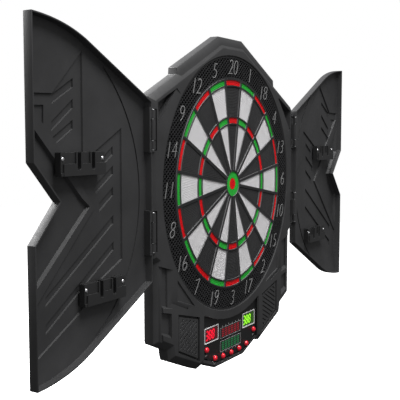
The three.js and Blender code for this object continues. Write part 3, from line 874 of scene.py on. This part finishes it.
def front_housing():
    """The black shell with its round opening, console field, grille mouths and hinge recesses."""
    shell = housing_shell()
    pocket_cups(shell)
    cut(shell, Form().loft([(console_field(1.5), HOUSING_FRONT - 1), (console_field(), CONSOLE_FACE)]))
    mouth = [(0.6, HOUSING_FRONT - 1), (0, HOUSING_FRONT + 1), (0, HOUSING_BACK)]
    cut(shell, on_both_sides(Form(), GRILLE, mouth))
    corner_facets(shell)
    opening = [(OPENING_R + 2.8, HOUSING_FRONT - 1.4), (OPENING_R + 1.6, HOUSING_FRONT - 0.2),
               (OPENING_R, HOUSING_FRONT + 1.4), (OPENING_R, HOUSING_BACK)]
    cut(shell, Form().turned(opening, sides=144))
    hinge_recesses(shell)
    finished(shell, HOUSING)
    shell.name = "front_housing_shell"
    place(shell, "cabinet", "black_plastic", "front_housing")


# ---- console


def console_panel():
    """The sunken face with its windows and button holes, and a collar round each hole."""
    edge = [(98, CONSOLE_SHOULDER_Z), (98, -279.5), (89, -276.8), (47, -292.8)]
    turn = CONSOLE_TURN + 0.01
    outline = arc(CONSOLE_TOP_R - 4, math.pi + turn, math.pi - turn, 24) + edge + mirrored(edge)
    panel = Form().slab(outline, CONSOLE_FACE, CONSOLE_BACK).make("console_face")
    windows = Form()
    for name in ("left_display", "right_display", "upper_indicator", "lower_indicator"):
        centre, (low_corner, high_corner) = middle(name), box_mm(name)
        size = high_corner - low_corner
        windows.slab(rectangle(centre.x, centre.z, size.x + 0.6, size.z + 0.6),
                     CONSOLE_FACE - 1, CONSOLE_BACK + 1)
    collars = Form()
    for name in BUTTONS:
        centre = middle(name)
        windows.slab(circle(BUTTON_HOLE_R, centre.x, centre.z, 24), CONSOLE_FACE - 1, CONSOLE_BACK + 1)
        collars.turned([(BUTTON_HOLE_R, CONSOLE_FACE - 0.9), (6.0, CONSOLE_FACE - 0.6), (6.6, CONSOLE_FACE),
                        (BUTTON_HOLE_R, CONSOLE_FACE)], centre.x, centre.z, 28, closed=True)
    cut(panel, windows)
    finished(panel, PANEL, bevel=0.3)
    place(panel, "cabinet", "panel_plastic", "console_panel")
    place(collars.make("button_collars", PANEL), "cabinet", "panel_plastic")


def window(node, size, lens, slot):
    """The window of a display or an indicator; returns its middle."""
    centre, back = middle(node), box_mm(node)[1].y
    pane = Form().slab(rectangle(centre.x, centre.z, *size), WINDOW_FRONT, back)
    place(pane.make(f"{node}_window", lens, bevel=0.3), "cabinet", slot, node)
    return centre


def frame_line(form, centre, width, height, line, front):
    """A thin raised rectangle outline."""
    outer = rectangle(centre.x, centre.z, width, height)
    inner = rectangle(centre.x, centre.z, width - 2 * line, height - 2 * line)
    form.loft([(outer, front), (outer, PRINT_BACK), (inner, PRINT_BACK), (inner, front)], closed=True)


DIGIT_BARS = {"3": "abcdg", "8": "abcdefg"}
DIGIT_HALF = (3.1, 6.9)
DIGIT_STROKE = 2.5
DIGIT_PITCH = 9.6


def digit(form, x, z, lit):
    """A seven-segment digit, leaning slightly."""
    w, h = DIGIT_HALF
    bars = {
        "a": ((-w, h), (w, h)), "g": ((-w, 0), (w, 0)), "d": ((-w, -h), (w, -h)),
        "f": ((-w, 0), (-w, h)), "b": ((w, 0), (w, h)), "e": ((-w, -h), (-w, 0)), "c": ((w, -h), (w, 0)),
    }
    for name in lit:
        start, end = (Vector(corner) for corner in bars[name])
        along = (end - start).normalized() * 0.35
        side = Vector((-along.y, along.x)).normalized() * DIGIT_STROKE / 2
        start, end = start + along, end - along
        tip = along.normalized() * DIGIT_STROKE / 2
        outline = [start, start + tip + side, end - tip + side, end, end - tip - side, start + tip - side]
        leaning = [(x + p.x + 0.12 * p.y, z + p.y) for p in outline]
        form.slab(leaning, WINDOW_FRONT - 0.25, WINDOW_FRONT + 0.3)


def displays():
    """Two windows with white borders and three lit figures each."""
    width, height = DISPLAY_SIZE
    for node, colour, lens, light, shift in (("left_display", "red", RED_WINDOW, RED_LIGHT, 2),
                                             ("right_display", "green", GREEN_WINDOW, GREEN_LIGHT, 4)):
        centre = window(node, DISPLAY_SIZE, lens, f"{colour}_display")
        border = Form()
        frame_line(border, centre, width + 3.4, height + 4.6, 1.25, WINDOW_FRONT - 0.7)
        place(border.make(f"{node}_border", PRINT), "cabinet", "print_white")
        digits = Form()
        for i, figure in enumerate("388"):
            digit(digits, centre.x - 11.5 + DIGIT_PITCH * i - shift, centre.z, DIGIT_BARS[figure])
        place(digits.make(f"{node}_digits", light), "cabinet", f"{colour}_light")


def indicators():
    """Two dark windows with blocks of dim lights, a thin frame and a row of marks."""
    width, height = INDICATOR_SIZE
    for node, colour, light, side in (("upper_indicator", "red", DIM_RED, 1),
                                      ("lower_indicator", "green", DIM_GREEN, -1)):
        centre = window(node, INDICATOR_SIZE, DARK_WINDOW, f"{colour}_display")
        dots, marks = Form(), Form()
        frame_line(marks, centre, width + 2.4, height + 2.4, 0.5, WINDOW_FRONT - 0.3)
        for column in range(6):
            for row in range(4):
                x = centre.x - 26 + 10.4 * column
                z = centre.z - 5.4 + 3.6 * row
                for shift in (-2.2, 2.2):
                    dots.slab(rectangle(x + shift, z, 2.7, 2.3), WINDOW_FRONT - 0.2, WINDOW_FRONT + 0.2)
            mark = rectangle(centre.x - 28 + 11.2 * column, centre.z + side * (height / 2 + 2.8), 1.4, 2.2)
            marks.slab(mark, WINDOW_FRONT - 0.3, PRINT_BACK)
        place(dots.make(f"{node}_dots", light), "cabinet", f"{colour}_light")
        place(marks.make(f"{node}_marks", LABEL), "cabinet", "print_white")


def push_buttons():
    """Domed caps, and two plain bars under each in place of a caption."""
    marks = Form()
    for i, node in enumerate(BUTTONS, 1):
        foot = box_mm(node)[1].y
        centre = middle(node)
        dome = [(BUTTON_R * math.sin(a), BUTTON_TOP + BUTTON_RISE * (1 - math.cos(a)))
                for a in (math.radians(7 + 83 * k / 8) for k in range(9))]
        skirt = [(BUTTON_R, foot - 1), (BUTTON_R + 1.2, foot - 1), (BUTTON_R + 1.2, foot)]
        cap = Form().turned(dome + skirt, centre.x, centre.z, 32)
        place(cap.make(f"button_cap_{i}", BUTTON, sharp=50), node, "button_red", node)
        for across, up, width, height in ((0.6, -9.0, 6.4, 1.0), (-0.4, -10.6, 3.8, 0.7)):
            bar = rectangle(centre.x + across, centre.z + up, width, height)
            marks.slab(bar, CONSOLE_FACE - 0.15, PRINT_BACK)
    place(marks.make("button_marks", LABEL), "cabinet", "print_white")


# ---- speaker grilles


def grilles():
    """Speaker panels with slanted grooves, held by a flange behind the face."""
    for side, place_name in SIDES:
        name = f"{place_name}_grille"
        outline = inset(GRILLE, GRILLE_GROOVE)
        flange = inset(GRILLE, -2.5)
        field = inset(GRILLE, GRILLE_GROOVE + 3.2)
        if side < 0:
            outline, flange, field = mirrored(outline), mirrored(flange), mirrored(field)
        panel = Form().slab(outline, GRILLE_FRONT, GRILLE_BACK).make(f"{name}_panel")
        join(panel, Form().slab(flange, GRILLE_BACK - 0.8, GRILLE_BACK))
        slots = Form()
        for i in range(18):
            z = -160 - RIB_PITCH * i
            run = RIB_SLOPE * 70
            bar = [(side * x, z + rise) for x, rise in ((104, 0), (174, run), (174, run + 2.6), (104, 2.6))]
            slots.slab(bar if side > 0 else bar[::-1], GRILLE_FRONT - 1, GRILLE_FRONT + 1.5)
        grooves = slots.make("grooves")
        combine(grooves, Form().slab(field, GRILLE_FRONT - 2, GRILLE_FRONT + 3), "INTERSECT")
        cut(panel, grooves)
        finished(panel, HOUSING, bevel=0.25, segments=1)
        place(panel, "cabinet", "black_plastic", name)


# ---- doors


def door_outline():
    """The door's outline in u, from the hinge axis to the free edge, and z."""
    p0, p1, p2 = Vector(DOOR_SHOULDER), Vector(DOOR_SHOULDER_CONTROL), Vector((DOOR_FREE_U, DOOR_TOP_Z))
    curve = []
    for i in range(17):
        t = i / 16
        curve.append(tuple(p0 * (1 - t) ** 2 + p1 * 2 * t * (1 - t) + p2 * t * t))
    upper = [(DOOR_EDGE_U, DOOR_HINGE_Z)] + curve + [(DOOR_FREE_U, NOTCH_HALF)]
    lower = [(u, -z) for u, z in reversed(upper)]
    return upper + [(DOOR_FREE_U - NOTCH_DEPTH, 0)] + lower


def on_door(side, points):
    return [(side * (HINGE_X + u), z) for u, z in points]


# Moulded relief of the door's inner face, as outlines in u and z.
CHEVRON = [(232, 89), (144, -1), (131, -11), (232, -103), (232, -47), (188, 0), (232, 47)]
UPPER_PANEL = [(232, 128), (195, 129), (140.4, 182.6), (140.4, 24), (231, 114.4)]
UPPER_CORNER = [(229, 114.4), (208.5, 115.1), (209.1, 93)]
LOWER_PANEL = [(60.8, 88.8), (60.8, -86.8), (110, -109.4), (152.6, -145.6), (232, -188),
               (232, -127), (117, -13), (158, 36)]
SLOT_WIDTH = 10.0
UPPER_SLOTS = [((193, 118.2), (155.7, 139.1)), ((193.9, 86), (156.2, 113.5)), ((194.2, 66), (156.8, 88))]
LOWER_SLOTS = [((102, 38), (77, 54.6)), ((112, 6), (77, 28.7)), ((105, -18), (77, 0.5)),
               ((208.9, -124.3), (77, -37.2)), ((209.5, -158), (77, -72.7))]
ARC_GROOVE_R = 218.5
ARC_GROOVE_U = 239.5
ARC_GROOVE_ENDS = (167, -181)


def slot_outline(start, end):
    (u0, z0), (u1, z1) = start, end
    return [(u0, z0), (u1, z1), (u1, z1 + SLOT_WIDTH), (u0, z0 + SLOT_WIDTH)]


def relief(side, outline, top, floor, slope):
    """A recess whose walls lean outwards to the front."""
    points = on_door(side, outline)
    return Form().loft([(inset(points, -slope * 1.3), top - 1), (inset(points, 0), floor)])


def door_tray(side):
    """A shallow tray with the moulded relief on its floor and the relief's bosses behind."""
    outline = on_door(side, door_outline())
    tray = Form().slab(outline, DOOR_LIP, DOOR_BACK).make("tray")
    inner = inset(outline, DOOR_WALL)
    cut(tray, Form().loft([(inset(outline, DOOR_WALL - 0.3), DOOR_LIP - 1), (inner, DOOR_FLOOR)]))
    soften(tray, 0.6)
    backed = [(CHEVRON, 3.4), (UPPER_PANEL, 2.6), (LOWER_PANEL, 2.6)]
    backed += [(slot_outline(start, end), 2.8) for start, end in UPPER_SLOTS + LOWER_SLOTS]
    for shape, proud in backed:
        points = on_door(side, shape)
        join(tray, Form().loft([(inset(points, -2), DOOR_BACK - 0.5),
                                (inset(points, -0.5), DOOR_BACK + proud)]))
    for shape, top, floor, slope in ((CHEVRON, 0, 4.4, 2.4), (UPPER_PANEL, 0, 2.2, 1),
                                     (LOWER_PANEL, 0, 2.2, 1), (UPPER_CORNER, 2.2, 4.2, 0.6)):
        cut(tray, relief(side, shape, DOOR_FLOOR + top, DOOR_FLOOR + floor, slope))
    slots = Form()
    for start, end in UPPER_SLOTS + LOWER_SLOTS:
        points = on_door(side, slot_outline(start, end))
        slots.loft([(inset(points, -1.2), DOOR_FLOOR + 1.0), (points, DOOR_FLOOR + 4.3)])
    cut(tray, slots)
    start, end = (math.asin(z / ARC_GROOVE_R) - math.pi / 2 for z in ARC_GROOVE_ENDS)
    line = [(ARC_GROOVE_U + x, z) for x, z in arc(ARC_GROOVE_R, start, end, 48)]
    ring = on_door(side, band([(u, z) for u, z in line if u > 8], 3.4))
    cut(tray, Form().slab(ring, DOOR_FLOOR - 2, DOOR_FLOOR + 1.2))
    return tray


def door_hinges(tray, side):
    """A rim block at each hinge, with two arms and knuckles round the pin."""
    for low, high in HINGE_SPANS.values():
        join(tray, block(Form(), span(side, HINGE_X + 2, HINGE_X + 9), (DOOR_LIP, DOOR_BACK),
                         (low - 4, high + 4)))
        cut(tray, block(Form(), span(side, HINGE_X - 2, HINGE_X + 6.5), (DOOR_LIP - 5, DOOR_BACK + 5),
                        (low - 1.5, high + 1.5)))
        for z0 in (low, high - ARM_HEIGHT):
            arm = span(side, HINGE_X, HINGE_X + 9)
            knuckle(tray, side, arm, (HINGE_Y - 1, HINGE_Y + KNUCKLE_R), (z0, z0 + ARM_HEIGHT))
        cut(tray, Form().post(BORE_R, side * HINGE_X, HINGE_Y, low - 5, high + 5))


def doors():
    """The two doors, each on its own body."""
    for side, name in SIDES:
        tray = door_tray(side)
        door_hinges(tray, side)
        finished(tray, DOOR)
        tray.name = f"{name}_door_tray"
        place(tray, f"{name}_door", "door_plastic", f"{name}_door")


def hinge_pins():
    """Steel pins with a head at each end."""
    for side, name in SIDES:
        for where, (low, high) in HINGE_SPANS.items():
            pin = Form()
            x = side * HINGE_X
            pin.post(PIN_R, x, HINGE_Y, low, high)
            pin.post(PIN_R + 1.1, x, HINGE_Y, high + 0.05, high + 1.2)
            pin.post(PIN_R + 0.9, x, HINGE_Y, low - 1.0, low - 0.05)
            node = f"{name}_{where}_hinge_pin"
            place(pin.make(f"{node}_steel", STEEL, bevel=0.25), "cabinet", "pin_steel", node)


# ---- dart holders


def dart_holder(side, door_name, where):
    """A clip with two open slots for darts and a screw at each end."""
    node = f"{door_name}_{where}_dart_holder"
    low, high = box_mm(node)
    x, back = (low.x + high.x) / 2, high.y
    bottom, z = low.z, low.z + HOLDER_BELOW
    front, ear_front = low.y, low.y + 2.2
    left, right = x - HOLDER_HALF, x + HOLDER_HALF
    slots = [x + side * offset for offset in HOLDER_SLOTS]
    base = block(Form(), (left, right), (ear_front, back), (bottom, z + 8)).make("holder")
    join(base, block(Form(), (left + 4, right), (front, ear_front + 1), (bottom, z - 6)))
    join(base, block(Form(), (left, right), (ear_front - 1.2, ear_front + 1), (bottom, z - 17)))
    for centre in slots:
        join(base, block(Form(), (centre - 6, centre + 6), (front, ear_front + 1), (bottom, z + 8)))
    for centre in slots:
        foot = z - 11
        near, far = centre - HOLDER_SLOT_R, centre + HOLDER_SLOT_R
        bend = arc(HOLDER_SLOT_R, math.pi / 2, 3 * math.pi / 2, 8, centre, foot)[1:-1]
        channel = [(near, z + 9), (far, z + 9), (far, foot)] + bend + [(near, foot)]
        cut(base, Form().slab(channel[::-1], front - 1, back - 2))
    for end in (-1, 1):
        seat = circle(3.4, x + end * HOLDER_SCREW_X, z, 24)
        cut(base, Form().slab(seat, ear_front - 2, ear_front + 1.2))
    finished(base, HOLDER, bevel=0.5)
    base.name = f"{node}_clip"
    place(base, f"{door_name}_door", "holder_plastic", node)
    for end, label in ((-1, "left"), (1, "right")):
        screw = screw_head(x + end * HOLDER_SCREW_X, z, ear_front - 0.9, ear_front + 1.15, 2.7)
        place(screw.make(f"{node}_{label}_screw", STEEL, sharp=40), f"{door_name}_door", "screw_steel")


def screw_head(x, z, front, back, radius, facing=-1):
    """A screw's domed head, facing the player or the wall."""
    depth = back - front
    dome = [(0.55 * radius, front), (0.85 * radius, front + 0.22 * depth),
            (radius, front + 0.55 * depth), (radius, back)]
    profile = dome if facing < 0 else [(r, back - (y - front)) for r, y in reversed(dome)]
    return Form().turned(profile, x, z, 20)


def dart_holders():
    """Two holders on each door."""
    for side, door_name in SIDES:
        for where in ("upper", "lower"):
            dart_holder(side, door_name, where)


# ---- rear and inside


REAR_SCREWS = [(200, 110), (205, -80), (190, -200), (120, -262), (60, 190)]


def rear_fittings():
    """Screws in raised rings on the back of the housing."""
    back = box_mm("rear_housing")[1].y
    ring = [(5.2, back - 0.3), (4.4, back + 0.9), (3.0, back + 0.9), (3.0, back - 0.3)]
    spots = [(side * x, z) for x, z in REAR_SCREWS for side in (-1, 1)]
    for index, (x, z) in enumerate(spots, 1):
        boss = Form().turned(ring, x, z, 28, closed=True)
        place(boss.make(f"rear_boss_{index}", HOUSING, bevel=0.2), "cabinet", "black_plastic")
        head = screw_head(x, z, back - 0.2, back + 0.7, 2.6, facing=1)
        place(head.make(f"rear_screw_{index}", STEEL, sharp=40), "cabinet", "screw_steel")


def battery_door():
    """The battery cover, with grooves for a thumb."""
    low, high = box_mm("battery_cover")
    centre = (low + high) / 2
    width, height = high.x - low.x, high.z - low.z
    plate = Form().slab(rectangle(centre.x, centre.z, width, height), low.y, high.y).make("battery_plate")
    ridges = Form()
    for i in range(6):
        groove = rectangle(centre.x, centre.z + height / 2 - 6 - 2.6 * i, 20, 1.2)
        ridges.slab(groove, high.y - 0.9, high.y + 1)
    cut(plate, ridges)
    finished(plate, HOUSING, bevel=0.35)
    place(plate, "battery_cover", "black_plastic", "battery_cover")


def dress_frame_nodes():
    """CAD nodes that stay, with their finished materials."""
    looks = {
        "rear_housing": HOUSING, "foam_backing": FOAM, "sensor_membrane": FILM, "button_mat": SILICONE,
        "main_board": CIRCUIT, "speaker": CONE, "dc_jack": PANEL,
        "battery_1": SLEEVE, "battery_2": SLEEVE, "battery_3": SLEEVE,
    }
    for name, material in looks.items():
        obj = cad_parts[name]
        obj.data.materials.clear()
        obj.data.materials.append(material)


# ---- studio


# The camera's place in metres, the direction it looks in and its lens.
CAMERA_PLACE = (-1.13762, -0.66394, 0.07782)
CAMERA_FORWARD = (0.8510, 0.5189, -0.0807)
CAMERA_LENS = 70.0
# Direction in which the room is brightest.
BRIGHT_SIDE = (-0.4, -0.35, 0.85)
FLOOR_Z = -750.0
FLOOR_HALF = 6000.0


def aim(obj, location, forward):
    """Places a camera or a light and turns it to face a direction."""
    obj.location = location
    obj.rotation_mode = "QUATERNION"
    obj.rotation_quaternion = Vector(forward).to_track_quat("-Z", "Y")
    return obj


def camera():
    """The camera, on the player's left."""
    data = bpy.data.cameras.new("camera")
    data.lens = CAMERA_LENS
    data.sensor_width = 36.0
    bpy.context.scene.camera = aim(add_object("camera", data), CAMERA_PLACE, CAMERA_FORWARD)


def area_light(name, direction, distance, size, power):
    """A round light that faces the origin from a direction."""
    data = bpy.data.lights.new(name, "AREA")
    data.shape = "DISK"
    data.size = size
    data.energy = power
    towards = Vector(direction).normalized()
    aim(add_object(name, data), towards * distance, -towards)


def room():
    """White where the camera sees it; to everything else dim below and brighter above."""
    world = bpy.data.worlds.new("studio")
    bpy.context.scene.world = world
    world.use_nodes = True
    tree = world.node_tree
    backdrop = tree.nodes["Background"]
    backdrop.inputs["Color"].default_value = (1, 1, 1, 1)
    around = tree.nodes.new("ShaderNodeBackground")
    where = tree.nodes.new("ShaderNodeTexCoord")
    lean = tree.nodes.new("ShaderNodeVectorMath")
    lean.operation = "DOT_PRODUCT"
    lean.inputs[1].default_value = BRIGHT_SIDE
    tree.links.new(where.outputs["Generated"], lean.inputs[0])
    strength = map_range(tree, lean.outputs["Value"], (-0.6, 1.0), (0.06, 0.75))
    tree.links.new(strength, around.inputs["Strength"])
    seen = tree.nodes.new("ShaderNodeLightPath")
    both = tree.nodes.new("ShaderNodeMixShader")
    tree.links.new(seen.outputs["Is Camera Ray"], both.inputs["Fac"])
    tree.links.new(around.outputs["Background"], both.inputs[1])
    tree.links.new(backdrop.outputs["Background"], both.inputs[2])
    tree.links.new(both.outputs["Shader"], tree.nodes["World Output"].inputs["Surface"])
    bpy.context.scene.view_settings.view_transform = "Standard"


def pale_floor():
    """A floor that glows faintly, so that it stays pale, and throws no light on the object."""
    material, tree, shader = new_material("pale_floor", {
        "Roughness": 0.9, "Emission Color": (1, 1, 1, 1), "Emission Strength": 0.8,
    })
    shade = two_tone(tree, texture(tree, 3, 2), (0.90, 0.90, 0.90), (0.94, 0.94, 0.94))
    tree.links.new(shade.outputs["Color"], shader.inputs["Base Color"])
    corners = ((-1, -1), (1, -1), (1, 1), (-1, 1))
    sheet = Form()
    sheet.points = [(x * FLOOR_HALF, y * FLOOR_HALF, FLOOR_Z) for x, y in corners]
    sheet.faces = [(0, 1, 2, 3)]
    floor = sheet.make("floor", material, closed=False)
    floor.visible_diffuse = False
    floor.visible_glossy = False


def studio():
    """The room, two soft lights and the floor."""
    room()
    area_light("top_back_light", (-0.15, 0.85, 0.8), 2.5, 1.4, 188)
    area_light("front_light", (-0.12, -0.5, 1.0), 2.4, 1.3, 76)
    pale_floor()


# ---- assembly

camera()
studio()
scoring_pads()
bulls()
spider_web()
catch_mesh()
raised_numbers()
front_housing()
console_panel()
displays()
indicators()
push_buttons()
grilles()
doors()
hinge_pins()
dart_holders()
rear_fittings()
battery_door()
dress_frame_nodes()
